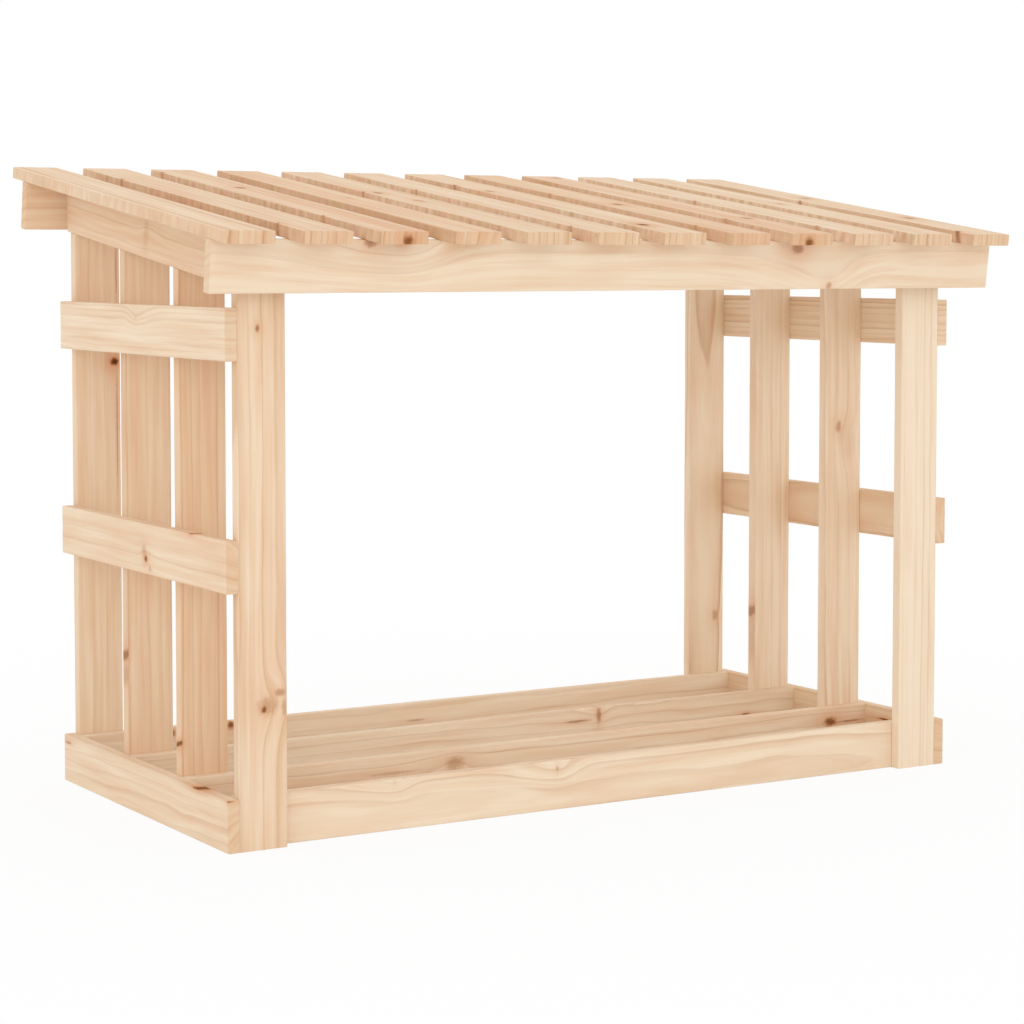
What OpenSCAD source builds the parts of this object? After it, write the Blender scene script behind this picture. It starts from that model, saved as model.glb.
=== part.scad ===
// Open log store: two end panels of uprights and rails, four base boards on edge,
// and a lean-to roof of spaced slats on rafters and fascias.
// Millimetres. X runs along the store, the front faces -Y, and the ground is Z = 0.
// The origin is on the ground under the middle of the whole store.

/* [Boards] */
// Width of every board
board_w = 59.5; // [45:0.5:75]
// Thickness of every board
board_t = 14.5; // [10:0.5:20]
// Eased arris along the four long edges of every board
arris = 1; // [0.4:0.1:2]

/* [Frame] */
// Length over the outer faces of the end rails
frame_len = 1031; // [800:1:1500]
// Depth of the end panels over the outer faces of the posts
frame_depth = 491; // [350:1:700]
// Clear height between a bottom rail and a middle rail
low_gap = 232; // [120:0.5:400]
// Clear height between a middle rail and a top rail
high_gap = 199.5; // [120:0.5:400]
// Clear height from a top rail to the underside of the rafter, at the front
roof_clear = 20.5; // [5:0.5:80]

/* [Roof] */
// Fall of the roof towards the front, in degrees
roof_slope = 7.65; // [2:0.05:15]
// How far the roof stands out past the end rails, on each side
roof_side = 35; // [15:0.5:80]
// How far the rafters run out past the posts, front and back
rafter_reach = 9.5; // [2:0.5:30]
// Narrowest gap between the end of a rafter and the fascia
fascia_gap = 11; // [3:0.5:30]
// How far the slats run out past the fascias
eave = 35.5; // [10:0.5:80]
// Number of roof slats
slat_count = 12; // [6:1:13]

/* [Hidden] */
SIDES = ["left", "right"];
UPRIGHTS = ["front_post", "front_upright", "back_upright", "back_post"];
RAILS = ["bottom_rail", "middle_rail", "top_rail"];
BASE_BOARDS = ["front_base_board", "front_bearer", "back_bearer", "back_base_board"];
FASCIAS = ["front_fascia", "back_fascia"];

function slat_name(i) = str("roof_slat_", i < 9 ? "0" : "", i + 1);

// Planed pine as new: pale boards, with the rails and slats a little warmer
pine_pale = "#EBD3B5";
pine_warm = "#E3C19A";

// Plan of the frame. The roof leans forward over it, so the frame sits a little
// behind the middle of the whole store.
frame_mid_y = (board_w + board_t) / 2 * sin(roof_slope);
front_y = frame_mid_y - frame_depth / 2;
back_y = frame_mid_y + frame_depth / 2;
panel_x = frame_len / 2 - board_t;
upright_step = (frame_depth - board_t) / (len(UPRIGHTS) - 1);

// Heights of the lower edges of the rails
rail_z = [0, board_w + low_gap, 2 * board_w + low_gap + high_gap];
top_rail_top = rail_z[2] + board_w;

// The roof plane is the underside of the slats, measured over the frame's middle
roof_z = top_rail_top + roof_clear + board_w / cos(roof_slope) + frame_depth / 2 * tan(roof_slope);
roof_len = frame_len + 2 * roof_side;
roof_rise = frame_depth * tan(roof_slope);

// Along the slope: the fascias are centred over the frame at half their height
fascia_mid = -board_w / 2 * tan(roof_slope);
rafter_half = frame_depth / 2 + rafter_reach;
fascia_inner = (rafter_half + fascia_gap + board_w / 2 * sin(roof_slope)) / cos(roof_slope);
fascia_outer = fascia_inner + board_t;
slat_half = fascia_outer + eave;
slat_pitch = (roof_len - board_w) / (slat_count - 1);

// Length to spare on blanks that are then cut to the slope or plumb
cut_spare = 2 * board_w;

// Section of a board with its four arrises eased, from the origin
module section(across, up) {
    polygon([
        [arris, 0],
        [across - arris, 0],
        [across, arris],
        [across, up - arris],
        [across - arris, up],
        [arris, up],
        [0, up - arris],
        [0, arris]
    ]);
}

// Board that runs from y0 to y1, set from x = 0 and z = 0
module board_along_y(y0, y1, across, up) {
    translate([0, y1, 0])
        rotate([90, 0, 0])
            linear_extrude(y1 - y0)
                section(across, up);
}

// Board on edge along X, centred on x = 0, set from y = 0 and z = 0
module board_along_x(length) {
    translate([-length / 2, 0, 0])
        rotate([90, 0, 90])
            linear_extrude(length)
                section(board_t, board_w);
}

// Frame of the roof: Y up the slope, Z square to it, from the slats' underside
module on_roof() {
    translate([0, frame_mid_y, roof_z])
        rotate([roof_slope, 0, 0])
            children();
}

// Everything is drawn for the left end, and mirrored for the right
module on_side(side) {
    if (side == "right") {
        mirror([1, 0, 0])
            children();
    } else {
        children();
    }
}

// Upright with its wide face to the front, its top cut to lie under the rafter
module upright(side, row) {
    color(pine_pale)
        on_side(side)
            difference() {
                translate([-panel_x, front_y + row * upright_step, 0])
                    linear_extrude(roof_z + roof_rise)
                        section(board_w, board_t);
                on_roof()
                    translate([-frame_len, -frame_depth, -board_w])
                        cube([2 * frame_len, 2 * frame_depth, frame_depth]);
            }
}

// Rail on the outside of the uprights, flush with the posts front and back
module rail(side, level) {
    color(pine_warm)
        on_side(side)
            translate([-panel_x - board_t, 0, rail_z[level]])
                board_along_y(front_y, back_y, board_t, board_w);
}

// Base board on edge between the bottom rails: the first one lies behind the
// front posts, the others each lie against the front of their uprights
module base_board(row) {
    upright_y = front_y + row * upright_step;
    color(pine_pale)
        translate([0, row == 0 ? upright_y + board_t : upright_y - board_t, 0])
            board_along_x(2 * panel_x);
}

// Rafter on edge along the tops of the uprights, with both ends cut plumb
module rafter(side) {
    color(pine_warm)
        on_side(side)
            intersection() {
                on_roof()
                    translate([-panel_x, 0, -board_w])
                        board_along_y(-rafter_half - cut_spare, rafter_half + cut_spare, board_t, board_w);
                translate([-frame_len, frame_mid_y - rafter_half, 0])
                    cube([2 * frame_len, 2 * rafter_half, 2 * roof_z]);
            }
}

// Fascia on edge across the roof, hung square to the slope under the slats
module fascia(end) {
    near_y = end == "front_fascia" ? -fascia_outer : fascia_inner;
    color(pine_pale)
        on_roof()
            translate([0, fascia_mid + near_y, -board_w])
                board_along_x(roof_len);
}

// Slat laid flat up the slope, over both fascias and rafters
module slat(i) {
    color(pine_warm)
        on_roof()
            translate([-roof_len / 2 + i * slat_pitch, 0, 0])
                board_along_y(fascia_mid - slat_half, fascia_mid + slat_half, board_w, board_t);
}

for (side = SIDES, row = [0:len(UPRIGHTS) - 1])
    upright(side, row);
for (side = SIDES, level = [0:len(RAILS) - 1])
    rail(side, level);
for (row = [0:len(BASE_BOARDS) - 1])
    base_board(row);
for (side = SIDES)
    rafter(side);
for (end = FASCIAS)
    fascia(end);
for (i = [0:slat_count - 1])
    slat(i);
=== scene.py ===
"""Open log store of planed pine: its boards with eased arrises and solid grain, and the stage around it."""

import math
import random
import zlib
from types import SimpleNamespace
from typing import NamedTuple

import bmesh
import bpy
import numpy as np
from bpy.props import FloatProperty, FloatVectorProperty, IntProperty, PointerProperty
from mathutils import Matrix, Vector, noise


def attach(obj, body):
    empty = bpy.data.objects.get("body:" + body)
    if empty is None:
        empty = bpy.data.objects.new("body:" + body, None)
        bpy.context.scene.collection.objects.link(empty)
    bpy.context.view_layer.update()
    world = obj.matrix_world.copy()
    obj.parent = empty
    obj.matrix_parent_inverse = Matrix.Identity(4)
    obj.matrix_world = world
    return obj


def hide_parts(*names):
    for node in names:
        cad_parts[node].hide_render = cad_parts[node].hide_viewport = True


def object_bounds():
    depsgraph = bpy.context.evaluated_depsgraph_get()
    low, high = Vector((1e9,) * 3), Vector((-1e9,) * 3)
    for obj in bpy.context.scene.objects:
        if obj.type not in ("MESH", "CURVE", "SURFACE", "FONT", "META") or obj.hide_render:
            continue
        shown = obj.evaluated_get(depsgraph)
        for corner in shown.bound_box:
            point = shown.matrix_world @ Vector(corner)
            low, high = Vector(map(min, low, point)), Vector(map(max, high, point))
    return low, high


bl_info = {
    "name": "Log store in planed pine",
    "version": (1, 0, 0),
    "blender": (4, 5, 0),
    "location": "View3D > Sidebar > Log store",
    "description": "Builds the boards of an open log store with solid pine grain, and sets its stage",
    "category": "Add Mesh",
}

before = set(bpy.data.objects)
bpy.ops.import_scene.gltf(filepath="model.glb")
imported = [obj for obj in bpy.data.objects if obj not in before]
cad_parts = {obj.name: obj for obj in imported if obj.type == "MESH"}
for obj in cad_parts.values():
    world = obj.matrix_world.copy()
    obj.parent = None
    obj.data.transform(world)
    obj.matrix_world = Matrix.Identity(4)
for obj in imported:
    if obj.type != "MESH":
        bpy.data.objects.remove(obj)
CAD_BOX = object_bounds()

BODY = "root"
PINE = "planed_bare_pine"
MM = 0.001
FLOOR_DROP = 0.2 * MM
SENSOR_WIDTH = 36.0

# Each board is its own stretch of one long log, so no two share a pattern. Its name picks one of so many
# seeds, counted in tenths, and a whole seed is a step along the log in millimetres.
SEEDS = 997
SEED_PARTS = 10
LOG_STEP = 100.0

# The radius of an eased arris wanders over about this length, and each arris wanders in its own row of noise
WANDER_LENGTH = 50 * MM
ARRIS_APART = 7.0


class Knot(NamedTuple):
    """A knot: its place and radius in millimetres, how it looks, and how far it pushes the rings aside.

    It runs through the board, or along it inside the wood where its stretch is negative."""
    along: float
    across: float
    radius: float
    dark: float
    stretch: float = 1.3
    push: float = 3.0


class Growth(NamedTuple):
    """How a board was cut from its log. Lengths are in millimetres.

    The pith lies across and through the board, and the rings lean along it. A lower tone is paler wood, and
    the tones are partly painted light: boards that lie in shade inside the store are set paler to make up
    for it.
    A phase of 1 moves the rings by one ring."""
    pith: tuple
    lean: float
    ring: float
    tone: float
    contrast: float
    wave: float
    knots: tuple = ()
    phase: float = 0.0


# A slot for a knot that a board doesn't have, far past its end
NO_KNOT = Knot(-9999, 0, radius=1, dark=0, stretch=1, push=0)
KNOT_SLOTS = 6

# How deep a knot lies that runs along a board, in millimetres
ROD_DEPTH = 11.0

# The slats' edges are left from the saw, and their blade traces and patches are partly painted shade of the
# gaps between slats: inner slats take them in full, and the two outer slats, whose outer edges face the
# open, take them more weakly.
SAWN_EDGE_AND_GAP_SHADE = {"roof_slat_01": 0.55, "roof_slat_12": 0.55}

# A face is an edge of a board if its normal lies nearly across the board
EDGE_FACING = 0.9

# The boards whose figure shows in the photograph. Uprights are measured from the ground and slats from
# their front end, both from their left edge. Rails and rafters are measured from the front, base boards and
# fascias from the left, and all of these from below. A knot far longer than wide is a streak of resin.
GROWTH = {
    "left_front_post": Growth(
        pith=(95, 22), lean=-0.004, ring=16, tone=0, contrast=0.8, wave=2.5, knots=(
            Knot(159, 31, radius=3.6, dark=0.8, stretch=1.2, push=4),
            Knot(163, 36, radius=13, dark=0.3, stretch=0.8, push=3),
            Knot(177, 51, radius=7, dark=0.42, stretch=0.6, push=12),
            Knot(160, 56, radius=3.5, dark=0.3, stretch=2.5, push=2),
            Knot(587, 25, radius=2.6, dark=0.6, stretch=1.6, push=2),
        )),
    "left_front_upright": Growth(
        pith=(-70, 12), lean=0.002, ring=17, tone=0.3, contrast=0.8, wave=2, knots=(
            Knot(99, 0, radius=2, dark=0.8, stretch=1.5, push=1),
        )),
    "left_back_upright": Growth(
        pith=(-80, 10), lean=0.003, ring=20, tone=0, contrast=0.5, wave=2.2, knots=(
            Knot(183, 0, radius=1.7, dark=0.6, stretch=4, push=1),
            Knot(158, 0, radius=1.6, dark=0.25, stretch=8, push=1),
        )),
    "left_back_post": Growth(
        pith=(120, 40), lean=0.004, ring=26, tone=-0.1, contrast=0.4, wave=2.5, knots=(
            Knot(533, 52, radius=5.5, dark=1, stretch=1, push=2),
            Knot(445, 55, radius=1, dark=0.4, stretch=75, push=0.5),
            Knot(645, 55, radius=1, dark=0.4, stretch=35, push=0.5),
        )),
    "right_front_post": Growth(pith=(95, 8), lean=0.002, ring=12, tone=-0.42, contrast=0.5, wave=2),
    "right_front_upright": Growth(
        pith=(-40, 30), lean=0.01, ring=18, tone=-0.25, contrast=0.5, wave=2.5, knots=(
            Knot(437, 22, radius=5, dark=0.4, stretch=1.7, push=3),
            Knot(420, 36, radius=15, dark=0.1, stretch=2, push=12),
        )),
    "right_back_upright": Growth(
        pith=(-60, 15), lean=0.003, ring=15, tone=-0.3, contrast=0.5, wave=2.2, knots=(
            Knot(172, 0, radius=1.6, dark=0.5, stretch=5, push=1),
            Knot(135, 0, radius=1.6, dark=0.15, stretch=20, push=1),
        )),
    "right_back_post": Growth(
        pith=(25, 42), lean=-0.02, ring=11, tone=-0.32, contrast=1, wave=2.5, phase=-0.06, knots=(
            Knot(143, 45, radius=5, dark=0.35, stretch=1.5, push=2),
        )),
    "left_bottom_rail": Growth(
        pith=(-30, 55), lean=0.012, ring=11, tone=-0.2, contrast=0.36, wave=4, knots=(
            Knot(478, 50, radius=1.6, dark=0.45, stretch=6, push=1),
            Knot(86, 60.5, radius=2, dark=0.95, stretch=6, push=1),
            Knot(0, 60, radius=2, dark=0.7, stretch=1.2, push=1),
        )),
    "left_middle_rail": Growth(
        pith=(80, 30), lean=0.004, ring=16, tone=-0.1, contrast=0.42, wave=2.5, knots=(
            Knot(97, 60.5, radius=1.5, dark=0.95, stretch=3, push=1),
            Knot(225, 18, radius=3.8, dark=0.8, stretch=1.2, push=3),
            Knot(230, 27, radius=8, dark=0.25, stretch=0.9, push=4),
            Knot(213, 8, radius=3.5, dark=0.3, stretch=1, push=2),
        )),
    "left_top_rail": Growth(
        pith=(130, 10), lean=0.001, ring=8, tone=-0.25, contrast=0.4, wave=1.6, knots=(
            Knot(250, 44, radius=3, dark=0.1, stretch=0.8, push=-10),
        )),
    "right_bottom_rail": Growth(
        pith=(90, 20), lean=0.003, ring=12, tone=0, contrast=0.5, wave=2, knots=(
            Knot(103, 44, radius=1.5, dark=0.85, stretch=8, push=1),
        )),
    "right_middle_rail": Growth(pith=(30, 50), lean=0.008, ring=12, tone=-0.05, contrast=0.6, wave=2.5),
    # The inner face of the right top rail lies in shade under the roof, and its paler tone is partly painted
    # light
    "right_top_rail": Growth(pith=(120, 8), lean=0.001, ring=9, tone=-0.3, contrast=1, wave=2),
    "front_base_board": Growth(
        pith=(16, 36), lean=0.01, ring=12, tone=-0.25, contrast=0.6, wave=3, phase=0.19, knots=(
            Knot(428, 50, radius=3.5, dark=0.3, stretch=0.6, push=14),
            Knot(205, 56, radius=3, dark=0.1, stretch=0.6, push=12),
        )),
    # The bearers and the back base board lie in shade inside the base, and their paler tones are partly
    # painted light
    "front_bearer": Growth(
        pith=(105, 25), lean=0.003, ring=15, tone=-0.2, contrast=0.65, wave=4, knots=(
            Knot(360, 42, radius=8.5, dark=0.36, stretch=1.5, push=9),
            Knot(943, 40, radius=6, dark=0.8, stretch=1.7, push=3),
            Knot(975, 38.5, radius=1.3, dark=0.55, stretch=18, push=1),
            Knot(270, 38, radius=2, dark=0.25, stretch=16, push=1),
        )),
    "back_bearer": Growth(
        pith=(-30, 45), lean=0.006, ring=13, tone=-0.32, contrast=0.65, wave=4.5, knots=(
            Knot(674, 49, radius=10, dark=0.5, stretch=0.4, push=9),
            Knot(640, 44, radius=1.8, dark=0.5, stretch=11, push=1),
            Knot(918, 28, radius=2.2, dark=0.9, stretch=3.5, push=1),
        )),
    "back_base_board": Growth(
        pith=(85, 38), lean=0.006, ring=13, tone=-0.32, contrast=0.65, wave=4, knots=(
            Knot(480, 36, radius=1.6, dark=0.35, stretch=8, push=1),
            Knot(123, 52, radius=4, dark=0.55, stretch=0.6, push=1),
            Knot(204, 55, radius=5, dark=0.8, stretch=0.9, push=2),
        )),
    "front_fascia": Growth(
        pith=(75, 30), lean=0, ring=34, tone=-0.28, contrast=0.55, wave=2, phase=0.75, knots=(
            Knot(195, 57, radius=6, dark=0.5, stretch=1.4, push=2),
            Knot(237, 59, radius=3.5, dark=0.9, stretch=1.3, push=-36),
            Knot(792, 51, radius=7, dark=0.5, stretch=1.4, push=-8),
            Knot(845, 4, radius=4.5, dark=0.4, stretch=1, push=-28),
        )),
    "back_fascia": Growth(pith=(100, 40), lean=0.003, ring=16, tone=0.05, contrast=0.35, wave=2),
    "left_rafter": Growth(
        pith=(100, 35), lean=0.006, ring=18, tone=0.05, contrast=0.6, wave=3, knots=(
            Knot(266, 30, radius=24, dark=0.14, stretch=0.3, push=6),
        )),
    "roof_slat_01": Growth(pith=(90, 5), lean=0.002, ring=9, tone=-0.05, contrast=0.9, wave=1.5, phase=0.5),
    "roof_slat_02": Growth(
        pith=(-60, 7), lean=0.002, ring=11, tone=0, contrast=0.9, wave=1.5, knots=(
            Knot(517, 0, radius=3, dark=0.55),
            Knot(70, 0, radius=3, dark=0.5),
        )),
    "roof_slat_03": Growth(
        pith=(100, 7), lean=0.002, ring=10, tone=0, contrast=0.9, wave=1.5, knots=(
            Knot(433, 30, radius=7, dark=0.6),
            Knot(0, 34, radius=7, dark=0.78, stretch=-30),
            Knot(145, 0, radius=2, dark=0.6),
            Knot(610, 0, radius=3, dark=0.5),
        )),
    "roof_slat_05": Growth(
        pith=(-75, 7), lean=0.003, ring=10, tone=-0.05, contrast=0.9, wave=1.5, knots=(
            Knot(395, 15, radius=5, dark=0.6, stretch=2),
            Knot(310, 28, radius=6, dark=0.35, stretch=2.4),
            Knot(408, 0, radius=2.5, dark=0.55),
        )),
    "roof_slat_06": Growth(
        pith=(110, 7), lean=0.002, ring=12, tone=-0.1, contrast=0.9, wave=1.5, knots=(
            Knot(440, 0, radius=2.5, dark=0.5),
            Knot(60, 0, radius=2.5, dark=0.4),
        )),
    "roof_slat_07": Growth(
        pith=(95, 7), lean=0.003, ring=11, tone=-0.05, contrast=0.9, wave=1.5, knots=(
            Knot(78, 20, radius=7, dark=0.9),
            Knot(432, 12, radius=5, dark=0.5, stretch=1.8),
            Knot(505, 0, radius=3, dark=0.6),
        )),
    "roof_slat_08": Growth(
        pith=(-60, 7), lean=0.003, ring=10, tone=0.2, contrast=0.9, wave=1.5, knots=(
            Knot(295, 30, radius=7.5, dark=0.6),
            Knot(415, 0, radius=2.5, dark=0.5),
            Knot(75, 0, radius=2.5, dark=0.5),
        )),
    "roof_slat_09": Growth(
        pith=(100, 7), lean=0.002, ring=11, tone=0, contrast=0.9, wave=1.5, knots=(
            Knot(155, 40, radius=8, dark=0.5),
            Knot(625, 45, radius=5, dark=0.5),
            Knot(145, 0, radius=2.5, dark=0.5),
            Knot(0, 24, radius=6.5, dark=0.78, stretch=-30),
        )),
    "roof_slat_10": Growth(
        pith=(-80, 7), lean=0.002, ring=12, tone=-0.15, contrast=0.9, wave=1.5, knots=(
            Knot(350, 0, radius=2.5, dark=0.5),
            Knot(80, 0, radius=2.5, dark=0.4),
        )),
    "roof_slat_11": Growth(
        pith=(85, 7), lean=0.002, ring=11, tone=-0.15, contrast=0.9, wave=1.5, knots=(
            Knot(325, 30, radius=5, dark=0.35),
        )),
    "roof_slat_12": Growth(
        pith=(-70, 7), lean=0.002, ring=11, tone=-0.1, contrast=0.9, wave=1.5, knots=(
            Knot(172, 35, radius=7, dark=0.6),
            Knot(400, 35, radius=8, dark=0.45),
            Knot(367, 0, radius=2.5, dark=0.6),
            Knot(32, 0, radius=4.5, dark=0.65, stretch=1.1),
        )),
}


def linear(code):
    """Linear RGBA of an sRGB hex colour such as #EBD3B5."""
    parts = [int(code[i:i + 2], 16) / 255 for i in (1, 3, 5)]
    return tuple(p / 12.92 if p <= 0.04045 else ((p + 0.055) / 1.055) ** 2.4 for p in parts) + (1.0,)


def colour_property(name, description, code):
    """A colour that a user can change, from its sRGB hex value."""
    return FloatVectorProperty(
        name=name, description=description, subtype="COLOR", size=4, min=0.0, max=1.0, default=linear(code))


class BoardSettings(bpy.types.PropertyGroup):
    """Sizes of the boards' finish."""
    arris: FloatProperty(
        name="Arris", description="Radius of the eased arrises", default=1.2 * MM, min=0.2 * MM, max=3 * MM,
        unit="LENGTH")
    arris_wander: FloatProperty(
        name="Arris wander", description="How far the eased radius wanders along a board, as a share of it",
        default=0.3, min=0.0, max=0.6, subtype="FACTOR")
    arris_steps: IntProperty(
        name="Arris steps", description="Faces across each eased arris", default=3, min=1, max=6)
    ring_step: FloatProperty(
        name="Section spacing", description="Distance between sections along a board", default=16 * MM,
        min=4 * MM, max=100 * MM, unit="LENGTH")


class PineSettings(bpy.types.PropertyGroup):
    """Colours and roughness of the planed pine."""
    early_pale: colour_property("Pale earlywood", "Earlywood of the palest boards", "#F0DDC3")
    early_warm: colour_property("Warm earlywood", "Earlywood of the warmest boards", "#E4BF98")
    late_wood: colour_property("Latewood", "Dark lines of the growth rings", "#BD8C5E")
    early_pink: colour_property("Pink earlywood", "Blush of the earlywood in patches", "#E3B899")
    knot_heart: colour_property("Knot", "Heart of a sound knot", "#AD6C3A")
    knot_core: colour_property("Knot core", "Dark core of a dead knot", "#633619")
    knot_halo: colour_property("Knot halo", "Resinous wood around a knot", "#D9986A")
    end_grain: colour_property("End grain", "Shade of the wood across a sawn end", "#E2C39C")
    # The colours of the sawn edges are darker than the wood partly as painted shade of the gaps between
    # slats
    sawn_pink_and_gap_shade: colour_property("Pink sawn edge", "Pink patches of the slats' sawn edges", "#D2A284")
    sawn_olive_and_gap_shade: colour_property("Olive sawn edge", "Olive patches of the slats' sawn edges", "#C7A57B")
    roughness: FloatProperty(
        name="Roughness", description="Roughness of the planed face", default=0.65, min=0.2, max=1.0,
        subtype="FACTOR")


class StageSettings(bpy.types.PropertyGroup):
    """Floor, light and camera."""
    floor_colour: colour_property("Floor", "Matt white studio floor", "#F7F7F7")
    floor_size: FloatProperty(
        name="Floor size", description="Side of the square floor", default=30.0, min=5.0, unit="LENGTH")
    floor_glow: FloatProperty(
        name="Floor white", description="Share of plain white in the floor as seen, near the object",
        default=0.88, min=0.0, max=1.0, subtype="FACTOR")
    shadow_near: FloatProperty(
        name="Shadow", description="Distance from the middle up to which the shadow is full", default=0.7,
        min=0.0, unit="LENGTH")
    shadow_far: FloatProperty(
        name="Shadow end", description="Distance from the middle at which the floor is plain white",
        default=2.0, min=0.1, unit="LENGTH")
    sky: FloatProperty(name="Sky", description="Strength of the soft light all round", default=1.0, min=0.0)
    key: FloatProperty(
        name="Key light", description="Power of the low softbox in front", default=108.0, min=0.0,
        unit="POWER")
    key_place: FloatVectorProperty(
        name="Key place", description="Where the low softbox stands", subtype="TRANSLATION",
        default=(-4.9, -6.3, 1.2))
    top: FloatProperty(
        name="Top light", description="Power of the softbox overhead", default=2.0, min=0.0, unit="POWER")
    top_place: FloatVectorProperty(
        name="Top place", description="Where the softbox overhead hangs", subtype="TRANSLATION",
        default=(0.3, -0.3, 3.2))
    softbox_size: FloatProperty(
        name="Softbox size", description="Side of the square softboxes", default=5.5, min=0.1, unit="LENGTH")
    camera_place: FloatVectorProperty(
        name="Camera place", description="Where the camera stands", subtype="TRANSLATION",
        default=(-1.7480, -2.9078, 0.6683))
    camera_yaw: FloatProperty(
        name="Camera yaw", description="Turn of the camera to the right of straight ahead", subtype="ANGLE",
        default=math.radians(30.997))
    camera_pitch: FloatProperty(
        name="Camera pitch", description="Tilt of the camera below the horizon", subtype="ANGLE",
        default=math.radians(3.344))
    camera_lens: FloatProperty(
        name="Camera lens", description="Focal length for the sensor's width, in millimetres", default=93.04,
        min=10.0, unit="CAMERA")
    camera_shift: FloatProperty(
        name="Camera shift", description="Upward shift of the lens as a share of the picture",
        default=-0.10)


def add(tree, kind, sockets=None, **settings):
    """Adds a node with its settings, and gives each socket a constant or a link from a node or socket."""
    made = tree.nodes.new(kind)
    for key, value in settings.items():
        setattr(made, key, value)
    for key, value in (sockets or {}).items():
        if isinstance(value, bpy.types.Node):
            tree.links.new(value.outputs[0], made.inputs[key])
        elif isinstance(value, bpy.types.NodeSocket):
            tree.links.new(value, made.inputs[key])
        else:
            made.inputs[key].default_value = value
    return made


# Sockets of a Mix node that mixes two colours
MIX_SHARE, MIX_FIRST, MIX_SECOND, MIX_COLOUR = 0, 6, 7, 2

# Where a knot's heart and core start and are full, and how far its halo reaches, as shares of its radius
HEART_STARTS, HEART_FULL = 1.45, 0.5
CORE_STARTS, CORE_FULL = 1.0, 0.3
HALO_REACH = 2.8

# A branch climbs along the board as it runs through it, by this much for each millimetre
BRANCH_CLIMB = 0.3

# The rings bend around a knot over this width in millimetres, and more for each millimetre of push. The bend
# is longer than wide, and it closes up quicker above the knot than below.
BEND_WIDTH = 5.0
BEND_PER_PUSH = 1.2
BEND_BELOW, BEND_ABOVE = 2.6, 1.3


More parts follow.
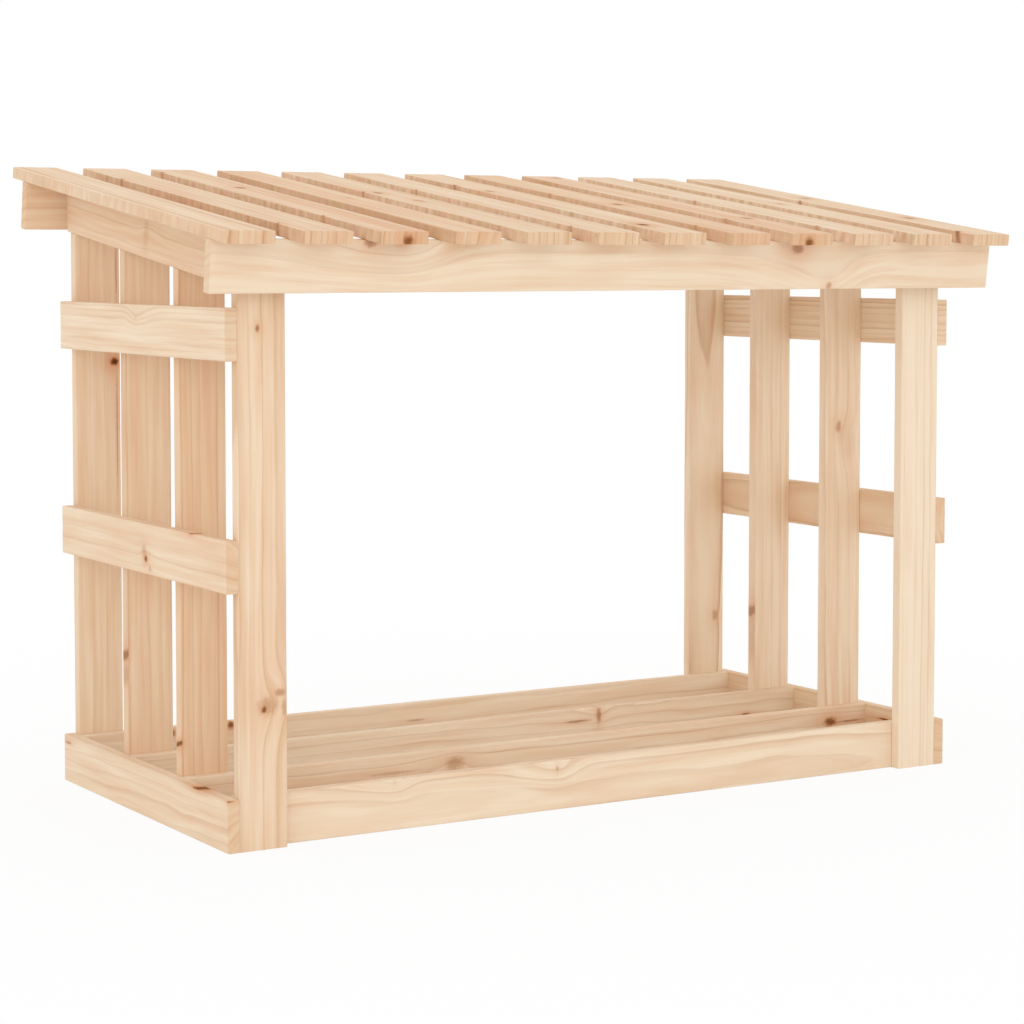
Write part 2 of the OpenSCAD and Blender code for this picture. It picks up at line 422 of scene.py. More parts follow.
def knot_group():
    """Node group of one knot: how far it pushes the rings aside, its brown heart, dark core and halo."""
    group = bpy.data.node_groups.new("knot_in_pine", "ShaderNodeTree")
    for name in ("Grain", "Knot", "Mark"):
        group.interface.new_socket(name, in_out="INPUT", socket_type="NodeSocketVector")
    group.interface.new_socket("Uneven", in_out="INPUT", socket_type="NodeSocketFloat")
    for name in ("Bulge", "Heart", "Core", "Halo"):
        group.interface.new_socket(name, in_out="OUTPUT", socket_type="NodeSocketFloat")
    given = add(group, "NodeGroupInput").outputs
    x, y, z = add(group, "ShaderNodeSeparateXYZ", {0: given["Grain"]}).outputs
    along, across, radius = add(group, "ShaderNodeSeparateXYZ", {0: given["Knot"]}).outputs
    dark, stretch, push = add(group, "ShaderNodeSeparateXYZ", {0: given["Mark"]}).outputs
    climbed = add(group, "ShaderNodeMath", {0: z, 1: BRANCH_CLIMB, 2: x}, operation="MULTIPLY_ADD")
    off_x = add(group, "ShaderNodeMath", {0: climbed, 1: along}, operation="SUBTRACT")
    off_y = add(group, "ShaderNodeMath", {0: y, 1: across}, operation="SUBTRACT")

    # Outline: an oval with an uneven edge, or a rod inside the board where the stretch is negative
    short_x = add(group, "ShaderNodeMath", {0: off_x, 1: stretch}, operation="DIVIDE")
    is_rod = add(group, "ShaderNodeMath", {0: stretch, 1: 0.0}, operation="LESS_THAN")
    off_z = add(group, "ShaderNodeMath", {0: z, 1: ROD_DEPTH}, operation="SUBTRACT")
    off_z = add(group, "ShaderNodeMath", {0: off_z, 1: is_rod}, operation="MULTIPLY")
    oval = add(group, "ShaderNodeCombineXYZ", {"X": short_x, "Y": off_y, "Z": off_z})
    reach = add(group, "ShaderNodeVectorMath", {0: oval}, operation="LENGTH").outputs["Value"]
    share = add(group, "ShaderNodeMath", {0: reach, 1: radius}, operation="DIVIDE")
    share = add(group, "ShaderNodeMath", {0: share, 1: given["Uneven"]}, operation="ADD")
    heart = add(group, "ShaderNodeMapRange", {
        "Value": share, "From Min": HEART_STARTS, "From Max": HEART_FULL}, interpolation_type="SMOOTHSTEP")
    core = add(group, "ShaderNodeMapRange", {
        "Value": share, "From Min": CORE_STARTS, "From Max": CORE_FULL}, interpolation_type="SMOOTHSTEP")
    wide = add(group, "ShaderNodeMath", {0: share, 1: HALO_REACH}, operation="DIVIDE")
    square = add(group, "ShaderNodeMath", {0: wide, 1: wide}, operation="MULTIPLY")
    minus = add(group, "ShaderNodeMath", {0: square, 1: -1.0}, operation="MULTIPLY")
    halo = add(group, "ShaderNodeMath", {0: minus}, operation="EXPONENT")
    darker = add(group, "ShaderNodeMath", {0: dark, 1: dark}, operation="MULTIPLY")

    # The bend of the rings around the knot
    width = add(group, "ShaderNodeMath", {0: push}, operation="ABSOLUTE")
    width = add(group, "ShaderNodeMath", {
        0: width, 1: BEND_PER_PUSH, 2: BEND_WIDTH}, operation="MULTIPLY_ADD")
    above = add(group, "ShaderNodeMath", {0: off_x, 1: 0.0}, operation="GREATER_THAN")
    slack = add(group, "ShaderNodeMapRange", {"Value": above, "To Min": BEND_BELOW, "To Max": BEND_ABOVE})
    length = add(group, "ShaderNodeMath", {0: width, 1: slack}, operation="MULTIPLY")
    apart = add(group, "ShaderNodeCombineXYZ", {"X": off_x, "Y": off_y})
    spread = add(group, "ShaderNodeCombineXYZ", {"X": length, "Y": width, "Z": 1.0})
    ratio = add(group, "ShaderNodeVectorMath", {0: apart, 1: spread}, operation="DIVIDE")
    far = add(group, "ShaderNodeVectorMath", {0: ratio, 1: ratio}, operation="DOT_PRODUCT").outputs["Value"]
    near = add(group, "ShaderNodeMath", {0: far, 1: -1.0}, operation="MULTIPLY")
    hump = add(group, "ShaderNodeMath", {0: near}, operation="EXPONENT")

    add(group, "NodeGroupOutput", {
        "Bulge": add(group, "ShaderNodeMath", {0: hump, 1: push}, operation="MULTIPLY"),
        "Heart": add(group, "ShaderNodeMath", {0: heart, 1: dark}, operation="MULTIPLY"),
        "Core": add(group, "ShaderNodeMath", {0: core, 1: darker}, operation="MULTIPLY"),
        "Halo": add(group, "ShaderNodeMath", {0: halo, 1: dark}, operation="MULTIPLY")})
    return group


# The values that every board carries as attributes. Lengths are in millimetres.
BOARD_LAYERS = {
    "grain": ("along", "across", "through"),
    "growth": ("pith_across", "pith_through", "lean"),
    "habit": ("ring", "tone", "seed"),
    "figure": ("contrast", "wave", "phase"),
    "sawn": ("end", "edge"),
}

# Sizes of the pine's patterns in millimetres, along the board, across it and through it
SLOW_WAVE = (400.0, 60.0, 60.0)
QUICK_WAVE = (90.0, 16.0, 16.0)
PATCH = (220.0, 40.0, 40.0)
EDGE_PATCH = (45.0, 60.0, 60.0)
BLADE_MARK = (11.0, 60.0, 30.0)

# Real fibre is too fine to show, so it is drawn 2 mm wide
FIBRE = (150.0, 2.0, 2.0)

# Streaks follow the rings: their size along the board, from ring to ring and across the board
STREAK = (160.0, 7.0, 30.0)

# A knot's edge is uneven every so many millimetres, by this share of its radius
KNOT_BLOTCH = 5.0
KNOT_UNEVEN = 0.45

# How far the waves move the rings, in millimetres for each step of a board's wave
SLOW_REACH, QUICK_REACH = 4.0, 1.5

# Rings lie closer or wider apart in a pattern with so many changes to a year, by up to so many years
YEAR_PATTERN = 0.45
YEAR_WANDER = 1.6

# The line of a year starts and is full at these distances before its end, and fades past it, in millimetres
LINE_STARTS, LINE_FULL, LINE_FADES = 3.2, 0.3, 0.7

# Lines of weak and strong years, how rare strong ones are, and the luck that makes a line full
LINE_WEAK, LINE_STRONG = 0.07, 0.55
LINE_RARITY = 1.6
LUCK_FULL = 0.6

# The broad shade of a year before its line, in weak and strong years, and how late in the year it comes
SHADE_WEAK, SHADE_STRONG = 0.05, 0.3
SHADE_LATE = 1.4

# How much streaks and fibres warm the wood, and the warmth at which it is still pale
STREAK_WARMTH, FIBRE_WARMTH = 1.3, 0.25
PALE_WARMTH = 0.33

# Shares of the patterns at which a colour starts and is full
BLUSH_STARTS, BLUSH_FULL = 0.35, 0.75
OLIVE_STARTS, OLIVE_FULL = 0.38, 0.62
BLADE_STARTS, BLADE_FULL = 0.35, 0.7

# How much of a colour the halo of a knot, a mark of the saw blade and a sawn end take
HALO_STAIN = 0.7
BLADE_FAINT, BLADE_DEEP = 0.15, 0.95
END_SHADE = 0.3

# Latewood is dense and planes smoother and prouder than earlywood, and fibres stand up half as far
LATE_SMOOTHER = 0.12
FIBRE_RELIEF = 0.5
RELIEF_HEIGHT = 0.15 * MM
RELIEF_STRENGTH = 0.35


def per(size):
    """Scale of a pattern from its sizes."""
    return tuple(1 / side for side in size)


def board_values(tree):
    """The values of the board that is shaded, read from its attributes."""
    values = {}
    for layer, names in BOARD_LAYERS.items():
        values[layer] = add(tree, "ShaderNodeAttribute", attribute_name=layer).outputs["Vector"]
        parts = add(tree, "ShaderNodeSeparateXYZ", {0: values[layer]}).outputs
        values.update(zip(names, parts))
    return SimpleNamespace(**values)


def board_knots(tree, board):
    """All knots of a board: how far they push the rings aside, and their hearts, cores and halos."""
    blotch = add(tree, "ShaderNodeTexNoise", {
        "Vector": board.grain, "Scale": 1 / KNOT_BLOTCH, "Detail": 2.0})
    uneven = add(tree, "ShaderNodeMapRange", {
        "Value": blotch, "To Min": -KNOT_UNEVEN, "To Max": KNOT_UNEVEN})
    group = knot_group()
    bulge = heart = core = halo = 0.0
    for i in range(1, KNOT_SLOTS + 1):
        place = add(tree, "ShaderNodeAttribute", attribute_name=f"knot_{i}").outputs["Vector"]
        mark = add(tree, "ShaderNodeAttribute", attribute_name=f"mark_{i}").outputs["Vector"]
        knot = add(tree, "ShaderNodeGroup", {
            "Grain": board.grain, "Knot": place, "Mark": mark, "Uneven": uneven}, node_tree=group).outputs
        bulge = add(tree, "ShaderNodeMath", {0: bulge, 1: knot["Bulge"]}, operation="ADD")
        heart = add(tree, "ShaderNodeMath", {0: heart, 1: knot["Heart"]}, operation="MAXIMUM")
        core = add(tree, "ShaderNodeMath", {0: core, 1: knot["Core"]}, operation="MAXIMUM")
        halo = add(tree, "ShaderNodeMath", {0: halo, 1: knot["Halo"]}, operation="MAXIMUM")
    return bulge, heart, core, halo


def ring_distance(tree, board, bulge):
    """Distance from the pith, which leans along the board, with the bulges of knots and two waves."""
    side = add(tree, "ShaderNodeMath", {0: board.across, 1: board.pith_across}, operation="SUBTRACT")
    depth = add(tree, "ShaderNodeMath", {0: board.through, 1: board.pith_through}, operation="SUBTRACT")
    radial = add(tree, "ShaderNodeCombineXYZ", {"X": side, "Y": depth})
    radius = add(tree, "ShaderNodeVectorMath", {0: radial}, operation="LENGTH").outputs["Value"]
    span = add(tree, "ShaderNodeMath", {
        0: board.seed, 1: -LOG_STEP, 2: board.along}, operation="MULTIPLY_ADD")
    radius = add(tree, "ShaderNodeMath", {0: span, 1: board.lean, 2: radius}, operation="MULTIPLY_ADD")
    radius = add(tree, "ShaderNodeMath", {0: radius, 1: bulge}, operation="ADD")
    for size, reach in ((SLOW_WAVE, SLOW_REACH), (QUICK_WAVE, QUICK_REACH)):
        place = add(tree, "ShaderNodeVectorMath", {0: board.grain, 1: per(size)}, operation="MULTIPLY")
        drift = add(tree, "ShaderNodeTexNoise", {"Vector": place, "Scale": 1.0, "Detail": 1.0})
        drift = add(tree, "ShaderNodeMath", {0: drift, 1: 0.5}, operation="SUBTRACT")
        drift = add(tree, "ShaderNodeMath", {0: drift, 1: board.wave}, operation="MULTIPLY")
        radius = add(tree, "ShaderNodeMath", {0: drift, 1: reach, 2: radius}, operation="MULTIPLY_ADD")
    return radius


def latewood(tree, board, radius, streak):
    """Share of latewood: each year darkens slowly and ends in a thin line, and some years are stronger."""
    years = add(tree, "ShaderNodeMath", {0: radius, 1: board.ring}, operation="DIVIDE")
    years = add(tree, "ShaderNodeMath", {0: years, 1: board.phase}, operation="ADD")
    place = add(tree, "ShaderNodeCombineXYZ", {"X": years, "Y": board.seed})
    uneven = add(tree, "ShaderNodeTexNoise", {
        "Vector": place, "Scale": YEAR_PATTERN, "Detail": 1.0}, noise_dimensions="2D")
    years = add(tree, "ShaderNodeMath", {0: uneven, 1: YEAR_WANDER, 2: years}, operation="MULTIPLY_ADD")
    year = add(tree, "ShaderNodeMath", {0: years}, operation="FLOOR")
    season = add(tree, "ShaderNodeMath", {0: years}, operation="FRACT")

    # The thin line at the end of the year, by the distance ahead and past it
    ahead = add(tree, "ShaderNodeMath", {0: 1.0, 1: season}, operation="SUBTRACT")
    ahead = add(tree, "ShaderNodeMath", {0: ahead, 1: board.ring}, operation="MULTIPLY")
    line = add(tree, "ShaderNodeMapRange", {
        "Value": ahead, "From Min": LINE_STARTS, "From Max": LINE_FULL}, interpolation_type="SMOOTHSTEP")
    past = add(tree, "ShaderNodeMath", {0: season, 1: board.ring}, operation="MULTIPLY")
    ending = add(tree, "ShaderNodeMapRange", {
        "Value": past, "From Min": LINE_FADES, "From Max": 0.0}, interpolation_type="SMOOTHSTEP")
    line = add(tree, "ShaderNodeMath", {0: line, 1: ending}, operation="MAXIMUM")

    # Every year has its own strength of line and shade
    year_seed = add(tree, "ShaderNodeMath", {0: year, 1: board.seed}, operation="ADD")
    luck = add(tree, "ShaderNodeTexWhiteNoise", {"W": year_seed}, noise_dimensions="1D").outputs["Color"]
    strong, broad, _ = add(tree, "ShaderNodeSeparateXYZ", {0: luck}).outputs
    strong = add(tree, "ShaderNodeMath", {0: strong, 1: LINE_RARITY}, operation="POWER")
    strong = add(tree, "ShaderNodeMath", {0: strong, 1: streak}, operation="MULTIPLY")
    strong = add(tree, "ShaderNodeMapRange", {
        "Value": strong, "From Max": LUCK_FULL, "To Min": LINE_WEAK, "To Max": LINE_STRONG})
    line = add(tree, "ShaderNodeMath", {0: line, 1: strong}, operation="MULTIPLY")
    shade = add(tree, "ShaderNodeMath", {0: season, 1: SHADE_LATE}, operation="POWER")
    broad = add(tree, "ShaderNodeMapRange", {"Value": broad, "To Min": SHADE_WEAK, "To Max": SHADE_STRONG})
    shade = add(tree, "ShaderNodeMath", {0: shade, 1: broad}, operation="MULTIPLY")
    late = add(tree, "ShaderNodeMath", {0: line, 1: shade}, operation="ADD")
    return add(tree, "ShaderNodeMath", {0: late, 1: board.contrast}, operation="MULTIPLY", use_clamp=True)


def pale_to_warm(tree, pine, board, streak, fibre):
    """Colour of the earlywood: streaks and fibres warm it, and patches of the warm wood are pinkish."""
    place = add(tree, "ShaderNodeVectorMath", {0: board.grain, 1: per(PATCH)}, operation="MULTIPLY")
    patch = add(tree, "ShaderNodeTexNoise", {"Vector": place, "Scale": 1.0, "Detail": 1.0})
    warmth = add(tree, "ShaderNodeMath", {
        0: streak, 1: STREAK_WARMTH, 2: board.tone}, operation="MULTIPLY_ADD")
    warmth = add(tree, "ShaderNodeMath", {0: fibre, 1: FIBRE_WARMTH, 2: warmth}, operation="MULTIPLY_ADD")
    warmth = add(tree, "ShaderNodeMath", {0: warmth, 1: PALE_WARMTH}, operation="SUBTRACT", use_clamp=True)
    blush = add(tree, "ShaderNodeMapRange", {
        "Value": patch, "From Min": BLUSH_STARTS, "From Max": BLUSH_FULL})
    blush = add(tree, "ShaderNodeMath", {0: blush, 1: warmth}, operation="MULTIPLY")
    wood = tuple(pine.early_pale)
    for share, colour in ((warmth, tuple(pine.early_warm)), (blush, tuple(pine.early_pink))):
        wood = add(tree, "ShaderNodeMix", {
            MIX_SHARE: share, MIX_FIRST: wood, MIX_SECOND: colour}, data_type="RGBA").outputs[MIX_COLOUR]
    return wood


def sawn_edge_and_gap_shade(tree, pine, board):
    """The slats' sawn edges: how much the traces of the blade show, and their pink and olive patches.

    Both are partly painted shade of the gaps between slats.
    """
    place = add(tree, "ShaderNodeVectorMath", {0: board.grain, 1: per(EDGE_PATCH)}, operation="MULTIPLY")
    patch = add(tree, "ShaderNodeTexNoise", {"Vector": place, "Scale": 1.0, "Detail": 3.0})
    olive = add(tree, "ShaderNodeMapRange", {
        "Value": patch, "From Min": OLIVE_STARTS, "From Max": OLIVE_FULL})
    colour = add(tree, "ShaderNodeMix", {
        MIX_SHARE: olive, MIX_FIRST: tuple(pine.sawn_pink_and_gap_shade), MIX_SECOND: tuple(pine.sawn_olive_and_gap_shade)},
        data_type="RGBA").outputs[MIX_COLOUR]
    place = add(tree, "ShaderNodeVectorMath", {0: board.grain, 1: per(BLADE_MARK)}, operation="MULTIPLY")
    blade = add(tree, "ShaderNodeTexNoise", {"Vector": place, "Scale": 1.0, "Detail": 3.0})
    marks_and_gap_shade = add(tree, "ShaderNodeMapRange", {
        "Value": blade, "From Min": BLADE_STARTS, "From Max": BLADE_FULL,
        "To Min": BLADE_FAINT, "To Max": BLADE_DEEP})
    return add(tree, "ShaderNodeMath", {0: marks_and_gap_shade, 1: board.edge}, operation="MULTIPLY"), colour


def planed_pine(pine):
    """Planed pine, unfinished: pale matt wood with soft tan ring lines, pinkish streaks and brown knots.

    The grain is solid, so the faces, edges and sawn ends of a board agree."""
    material = bpy.data.materials.new(PINE)
    material.use_nodes = True
    tree = material.node_tree
    tree.nodes.clear()
    board = board_values(tree)
    bulge, heart, core, halo = board_knots(tree, board)
    radius = ring_distance(tree, board, bulge)
    flow = add(tree, "ShaderNodeCombineXYZ", {"X": board.along, "Y": radius, "Z": board.across})
    flow = add(tree, "ShaderNodeVectorMath", {0: flow, 1: per(STREAK)}, operation="MULTIPLY")
    streak = add(tree, "ShaderNodeTexNoise", {"Vector": flow, "Scale": 1.0, "Detail": 3.0})
    strands = add(tree, "ShaderNodeVectorMath", {0: board.grain, 1: per(FIBRE)}, operation="MULTIPLY")
    fibre = add(tree, "ShaderNodeTexNoise", {"Vector": strands, "Scale": 1.0, "Detail": 2.0})
    late = latewood(tree, board, radius, streak)
    stain = add(tree, "ShaderNodeMath", {0: halo, 1: HALO_STAIN}, operation="MULTIPLY")
    # The slats' sawn edges are partly painted shade of the gaps between slats
    marks_and_gap_shade, edge_and_gap_shade_colour = sawn_edge_and_gap_shade(tree, pine, board)

    # Earlywood first, then what lies over it
    wood = pale_to_warm(tree, pine, board, streak, fibre)
    for share, colour in (
            (late, tuple(pine.late_wood)),
            (stain, tuple(pine.knot_halo)),
            (heart, tuple(pine.knot_heart)),
            (core, tuple(pine.knot_core)),
            (marks_and_gap_shade, edge_and_gap_shade_colour)):
        wood = add(tree, "ShaderNodeMix", {
            MIX_SHARE: share, MIX_FIRST: wood, MIX_SECOND: colour}, data_type="RGBA").outputs[MIX_COLOUR]

    # Sawn ends take a little more shade than planed faces
    dull = add(tree, "ShaderNodeMath", {0: board.end, 1: END_SHADE}, operation="MULTIPLY")
    wood = add(tree, "ShaderNodeMix", {
        MIX_SHARE: dull, MIX_FIRST: wood, MIX_SECOND: tuple(pine.end_grain)},
        data_type="RGBA", blend_type="MULTIPLY").outputs[MIX_COLOUR]

    sheen = add(tree, "ShaderNodeMapRange", {
        "Value": late, "To Min": pine.roughness, "To Max": pine.roughness - LATE_SMOOTHER})
    relief = add(tree, "ShaderNodeMath", {0: fibre, 1: FIBRE_RELIEF, 2: late}, operation="MULTIPLY_ADD")
    relief = add(tree, "ShaderNodeMath", {0: relief, 1: core}, operation="SUBTRACT")
    bump = add(tree, "ShaderNodeBump", {
        "Height": relief, "Strength": RELIEF_STRENGTH, "Distance": RELIEF_HEIGHT})
    shader = add(tree, "ShaderNodeBsdfPrincipled", {
        "Base Color": wood, "Roughness": sheen, "Normal": bump, "IOR": 1.5, "Specular IOR Level": 0.1})
    add(tree, "ShaderNodeOutputMaterial", {"Surface": shader})
    return material


def seen_directly(tree):
    """1 for the rays that an eye follows: straight from the camera, by a gloss or through glass."""
    seen = add(tree, "ShaderNodeLightPath").outputs
    direct = add(tree, "ShaderNodeMath", {
        0: seen["Is Camera Ray"], 1: seen["Is Glossy Ray"]}, operation="MAXIMUM")
    return add(tree, "ShaderNodeMath", {0: direct, 1: seen["Is Transmission Ray"]}, operation="MAXIMUM")


def studio_paper(stage):
    """Matt white paper: no gloss, so the floor only shows the soft shadow, and fades to the white behind."""
    material = bpy.data.materials.new("studio_paper")
    material.use_nodes = True
    tree = material.node_tree
    tree.nodes.clear()
    place = add(tree, "ShaderNodeNewGeometry").outputs["Position"]
    distance = add(tree, "ShaderNodeVectorMath", {0: place}, operation="LENGTH").outputs["Value"]
    fade = add(tree, "ShaderNodeMapRange", {
        "Value": distance, "From Min": stage.shadow_near, "From Max": stage.shadow_far,
        "To Min": stage.floor_glow, "To Max": 1.0}, interpolation_type="SMOOTHSTEP")
    share = add(tree, "ShaderNodeMath", {0: seen_directly(tree), 1: fade}, operation="MULTIPLY")
    paper = add(tree, "ShaderNodeBsdfPrincipled", {
        "Base Color": tuple(stage.floor_colour), "Roughness": 0.9, "Specular IOR Level": 0.0})
    white = add(tree, "ShaderNodeEmission", {"Color": linear("#FFFFFF"), "Strength": 1.0})
    mixed = add(tree, "ShaderNodeMixShader", {0: share, 1: paper, 2: white})
    add(tree, "ShaderNodeOutputMaterial", {"Surface": mixed})
    return material


def growth_of(name):
    """The chosen growth of a board, or a likely one drawn from its name."""
    if name in GROWTH:
        return GROWTH[name]
    draw = random.Random(zlib.crc32(name.encode()))
    pith = (draw.choice((-70, 110)) + draw.uniform(-20, 20), draw.uniform(5, 30))
    knots = tuple(
        Knot(
            draw.uniform(60, 560), draw.uniform(5, 55),
            radius=draw.uniform(2.5, 6.5), dark=draw.uniform(0.3, 0.8))
        for _ in range(draw.choice((0, 1, 2))))
    return Growth(
        pith=pith, lean=draw.uniform(-0.006, 0.006), ring=draw.uniform(10.0, 15.0),
        tone=draw.uniform(-0.1, 0.25), contrast=draw.uniform(0.5, 0.9), wave=draw.uniform(1.2, 2.5),
        knots=knots)


def roof_axes():
    """Unit vectors up the slope of the roof and square to it, from the widest face of a slat."""
    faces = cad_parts["roof_slat_01"].data.polygons
    normal = max(faces, key=lambda face: face.area).normal.copy()
    if normal.z < 0:
        normal.negate()
    return Vector((0, normal.z, -normal.y)), normal


def board_axes(kind):
    """Directions along a board, across its wide face and through it from the face that shows most."""
    along_x, along_y, along_z = Vector((1, 0, 0)), Vector((0, 1, 0)), Vector((0, 0, 1))
    slope, square = roof_axes()
    return {
        "upright": (along_z, along_x, along_y),
        "rail": (along_y, along_z, along_x),
        "base_board": (along_x, along_z, along_y),
        "rafter": (slope, square, along_x),
        "fascia": (along_x, square, slope),
        "slat": (slope, along_x, -square),
    }[kind]


def sawn_plane(corners):
    """A sawn end as a start along the board and its slopes across and through, from its corners."""
    flat = np.column_stack((np.ones(len(corners)), corners[:, 1:]))
    return np.linalg.lstsq(flat, corners[:, 0], rcond=None)[0]


def eased_section(width, thickness, radii, steps):
    """Outline of a board's section from its lower corner, with one radius for each eased arris."""
    outline = []
    corners = ((0, 0), (width, 0), (width, thickness), (0, thickness))
    for turn, ((y, z), radius) in enumerate(zip(corners, radii)):
        centre_y = y + (radius if y == 0 else -radius)
        centre_z = z + (radius if z == 0 else -radius)
        for step in range(steps + 1):
            angle = math.pi / 2 * (turn + 2 + step / steps)
            outline.append((centre_y + radius * math.cos(angle), centre_z + radius * math.sin(angle)))
    return outline


def board_sections(corners, settings, seed):
    """The sections of a board as rows of points along, across and through it, from its CAD corners."""
    length, width, thickness = corners.max(axis=0)
    front = sawn_plane(corners[corners[:, 0] < length / 2])
    back = sawn_plane(corners[corners[:, 0] > length / 2])
    count = max(2, round(length / settings.ring_step) + 1)
    sections = []
    for share in (section / (count - 1) for section in range(count)):
        radii = []
        for arris in range(4):
            wander = noise.noise((share * length / WANDER_LENGTH, ARRIS_APART * arris, seed))
            radii.append(settings.arris * (1 + settings.arris_wander * wander))
        row = []
        for y, z in eased_section(width, thickness, radii, settings.arris_steps):
            start, end = (plane @ (1, y, z) for plane in (front, back))
            row.append((start + share * (end - start), y, z))
        sections.append(row)
    return np.array(sections)


def board_mesh(name, sections):
    """Mesh of a board: its sides from section to section, and its two sawn ends."""
    shape = bmesh.new()
    rows = [[shape.verts.new(place) for place in section] for section in sections]
    for here, there in zip(rows, rows[1:]):
        for i in range(len(here)):
            j = (i + 1) % len(here)
            shape.faces.new((here[i], here[j], there[j], there[i]))
    shape.faces.new(rows[0])
    shape.faces.new(rows[-1])
    bmesh.ops.recalc_face_normals(shape, faces=shape.faces)
    mesh = bpy.data.meshes.new(f"{name}_board")
    shape.to_mesh(mesh)
    shape.free()
    return mesh


def add_layer(mesh, layer, domain, values):
    """Gives every point or face of a mesh its three values of a layer."""
    attribute = mesh.attributes.new(layer, "FLOAT_VECTOR", domain)
    attribute.data.foreach_set("vector", np.array(values, dtype=float).ravel())


def add_growth(mesh, name, sections, seed):
    """Gives a board its grain and its own growth, in the layers that the pine reads."""
    growth = growth_of(name)
    shift = seed * LOG_STEP
    layers = {
        "growth": (*growth.pith, growth.lean),
        "habit": (growth.ring, growth.tone, seed),
        "figure": (growth.contrast, growth.wave, growth.phase),
    }
    knots = (growth.knots + (NO_KNOT,) * KNOT_SLOTS)[:KNOT_SLOTS]
    for i, knot in enumerate(knots, start=1):
        layers[f"knot_{i}"] = (knot.along + shift, knot.across, knot.radius)
        layers[f"mark_{i}"] = (knot.dark, knot.stretch, knot.push)
    for layer, values in layers.items():
        add_layer(mesh, layer, "POINT", np.tile(values, (len(mesh.vertices), 1)))
    add_layer(mesh, "grain", "POINT", sections / MM + (shift, 0, 0))


def add_saw_marks_and_gap_shade(mesh, name, kind, across):
    """Tells a board's sawn ends from its planed faces, and says how strongly a slat's sawn edges show the
    saw, partly as painted shade of the gaps between slats.
    """
    edge_and_gap_shade = SAWN_EDGE_AND_GAP_SHADE.get(name, 1.0) if kind == "slat" else 0.0
    sawn = []
    for face in mesh.polygons:
        is_end = len(face.vertices) > 4
        is_edge = abs(face.normal @ across) > EDGE_FACING
        sawn.append((is_end, edge_and_gap_shade * is_edge, 0.0))
    add_layer(mesh, "sawn", "FACE", sawn)


def board_piece(name, kind, settings, material):
    """Builds one board over its CAD node, with eased arrises, sawn ends and its own growth."""
    axes = board_axes(kind)
    turn = np.array(axes)
    corners = np.array([vertex.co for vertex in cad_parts[name].data.vertices]) @ turn.T
    low = corners.min(axis=0)
    seed = zlib.crc32(name.encode()) % SEEDS / SEED_PARTS
    sections = board_sections(corners - low, settings, seed)
    mesh = board_mesh(name, (sections + low) @ turn)
    mesh.materials.append(material)
    add_growth(mesh, name, sections, seed)
    add_saw_marks_and_gap_shade(mesh, name, kind, axes[1])
    piece = bpy.data.objects.new(f"{name}_board", mesh)
    bpy.context.collection.objects.link(piece)
    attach(piece, BODY)
    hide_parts(name)


def build_boards(context, kind, *words):
    """Builds every board whose node name ends or starts with one of the words."""
    material = bpy.data.materials.get(PINE) or planed_pine(context.scene.log_store_pine)
    names = [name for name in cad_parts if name.endswith(words) or name.startswith(words)]
    if not names:
        raise RuntimeError(f"the frame has no {kind}")
    for name in names:
        board_piece(name, kind, context.scene.log_store_boards, material)
    return {"FINISHED"}


def add_floor(scene, stage):
    """Adds the white floor, a hair under the ground so that it lies in no plane with the boards."""
    shape = bmesh.new()
    bmesh.ops.create_grid(shape, x_segments=1, y_segments=1, size=stage.floor_size / 2)
    mesh = bpy.data.meshes.new("floor")
    shape.to_mesh(mesh)
    shape.free()
    mesh.materials.append(studio_paper(stage))
    floor = bpy.data.objects.new("floor", mesh)
    floor.location.z = -FLOOR_DROP
    scene.collection.objects.link(floor)


def add_sky(scene, stage):
    """Adds the soft light all round, which the camera sees as plain white."""
    world = bpy.data.worlds.new("soft_white")
    world.use_nodes = True
    tree = world.node_tree
    tree.nodes.clear()
    light = add(tree, "ShaderNodeBackground", {"Color": linear("#FFFFFF"), "Strength": stage.sky})
    white = add(tree, "ShaderNodeBackground", {"Color": linear("#FFFFFF"), "Strength": 1.0})
    mixed = add(tree, "ShaderNodeMixShader", {0: seen_directly(tree), 1: light, 2: white})
    add(tree, "ShaderNodeOutputWorld", {"Surface": mixed})
    scene.world = world


def add_softbox(scene, name, power, place, size):
    """Adds a square softbox that faces the middle of the store."""
    middle = Vector(CAD_BOX[0]).lerp(Vector(CAD_BOX[1]), 0.5)
    lamp = bpy.data.lights.new(name, "AREA")
    lamp.shape = "SQUARE"
    lamp.size = size
    lamp.energy = power
    softbox = bpy.data.objects.new(name, lamp)
    softbox.location = place
    softbox.rotation_euler = (middle - softbox.location).to_track_quat("-Z", "Y").to_euler()
    softbox.visible_camera = False
    scene.collection.objects.link(softbox)


def add_camera(scene, stage):
    """Adds the camera of the photograph."""
    lens = bpy.data.cameras.new("camera")
    lens.sensor_width = SENSOR_WIDTH
    lens.lens = stage.camera_lens
    lens.shift_y = stage.camera_shift
    camera = bpy.data.objects.new("camera", lens)
    camera.location = stage.camera_place
    camera.rotation_euler = (math.pi / 2 - stage.camera_pitch, 0, -stage.camera_yaw)
    scene.collection.objects.link(camera)
    scene.camera = camera


class LOGSTORE_OT_uprights(bpy.types.Operator):
    """Builds the posts and uprights of both end panels"""
    bl_idname = "logstore.uprights"
    bl_label = "Posts and uprights"

    def execute(self, context):
        return build_boards(context, "upright", "_post", "_upright")


class LOGSTORE_OT_rails(bpy.types.Operator):
    """Builds the rails on the outside of both end panels"""
    bl_idname = "logstore.rails"
    bl_label = "Rails"

    def execute(self, context):
        return build_boards(context, "rail", "_rail")


class LOGSTORE_OT_base_boards(bpy.types.Operator):
    """Builds the base boards and bearers that the logs lie on"""
    bl_idname = "logstore.base_boards"
    bl_label = "Base boards"

    def execute(self, context):
        return build_boards(context, "base_board", "_base_board", "_bearer")


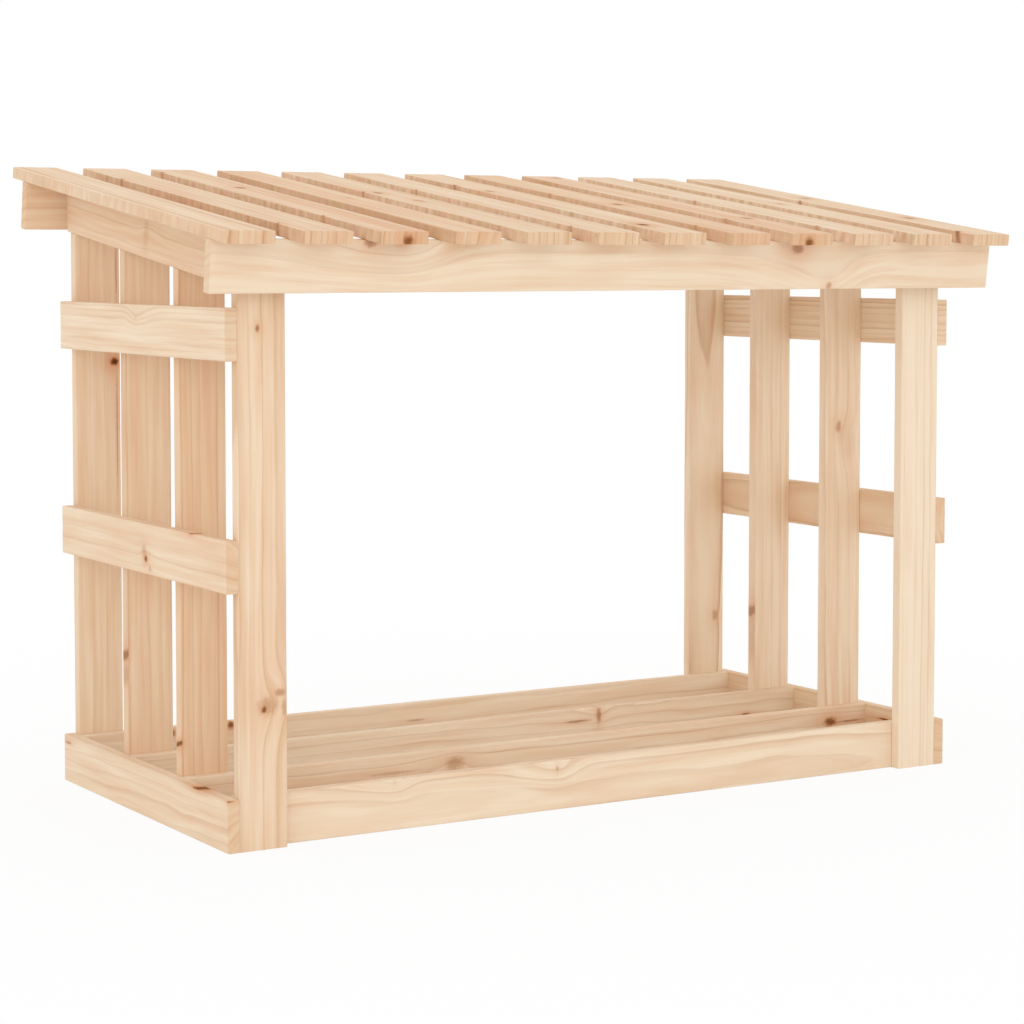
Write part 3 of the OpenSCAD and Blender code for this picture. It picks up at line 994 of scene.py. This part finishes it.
class LOGSTORE_OT_rafters(bpy.types.Operator):
    """Builds the two rafters on the tops of the uprights"""
    bl_idname = "logstore.rafters"
    bl_label = "Rafters"

    def execute(self, context):
        return build_boards(context, "rafter", "_rafter")


class LOGSTORE_OT_fascias(bpy.types.Operator):
    """Builds the fascias under the eaves, front and back"""
    bl_idname = "logstore.fascias"
    bl_label = "Fascias"

    def execute(self, context):
        return build_boards(context, "fascia", "_fascia")


class LOGSTORE_OT_slats(bpy.types.Operator):
    """Builds the spaced slats of the roof"""
    bl_idname = "logstore.slats"
    bl_label = "Roof slats"

    def execute(self, context):
        return build_boards(context, "slat", "roof_slat")


class LOGSTORE_OT_stage(bpy.types.Operator):
    """Sets the white floor, the soft light and the camera"""
    bl_idname = "logstore.stage"
    bl_label = "Stage"

    def execute(self, context):
        scene = context.scene
        stage = scene.log_store_stage
        scene.view_settings.view_transform = "Standard"
        add_floor(scene, stage)
        add_sky(scene, stage)
        add_softbox(scene, "key_softbox", stage.key, stage.key_place, stage.softbox_size)
        add_softbox(scene, "top_softbox", stage.top, stage.top_place, stage.softbox_size)
        add_camera(scene, stage)
        return {"FINISHED"}


class LOGSTORE_PT_panel(bpy.types.Panel):
    """Sizes, colours and steps of the log store"""
    bl_idname = "LOGSTORE_PT_panel"
    bl_label = "Log store"
    bl_space_type = "VIEW_3D"
    bl_region_type = "UI"
    bl_category = "Log store"

    def draw(self, context):
        scene = context.scene
        for settings in (scene.log_store_boards, scene.log_store_pine, scene.log_store_stage):
            column = self.layout.column(align=True)
            for name in settings.__annotations__:
                column.prop(settings, name)
        for operator in OPERATORS:
            self.layout.operator(operator.bl_idname)


SETTINGS = {
    "log_store_boards": BoardSettings,
    "log_store_pine": PineSettings,
    "log_store_stage": StageSettings,
}
OPERATORS = (
    LOGSTORE_OT_uprights,
    LOGSTORE_OT_rails,
    LOGSTORE_OT_base_boards,
    LOGSTORE_OT_rafters,
    LOGSTORE_OT_fascias,
    LOGSTORE_OT_slats,
    LOGSTORE_OT_stage,
)


def register():
    for name, settings in SETTINGS.items():
        bpy.utils.register_class(settings)
        setattr(bpy.types.Scene, name, PointerProperty(type=settings))
    for operator in OPERATORS:
        bpy.utils.register_class(operator)
    bpy.utils.register_class(LOGSTORE_PT_panel)


def unregister():
    bpy.utils.unregister_class(LOGSTORE_PT_panel)
    for operator in reversed(OPERATORS):
        bpy.utils.unregister_class(operator)
    for name, settings in SETTINGS.items():
        delattr(bpy.types.Scene, name)
        bpy.utils.unregister_class(settings)


def main():
    register()
    bpy.ops.logstore.uprights()
    bpy.ops.logstore.rails()
    bpy.ops.logstore.base_boards()
    bpy.ops.logstore.rafters()
    bpy.ops.logstore.fascias()
    bpy.ops.logstore.slats()
    bpy.ops.logstore.stage()


if __name__ == "__main__":
    main()
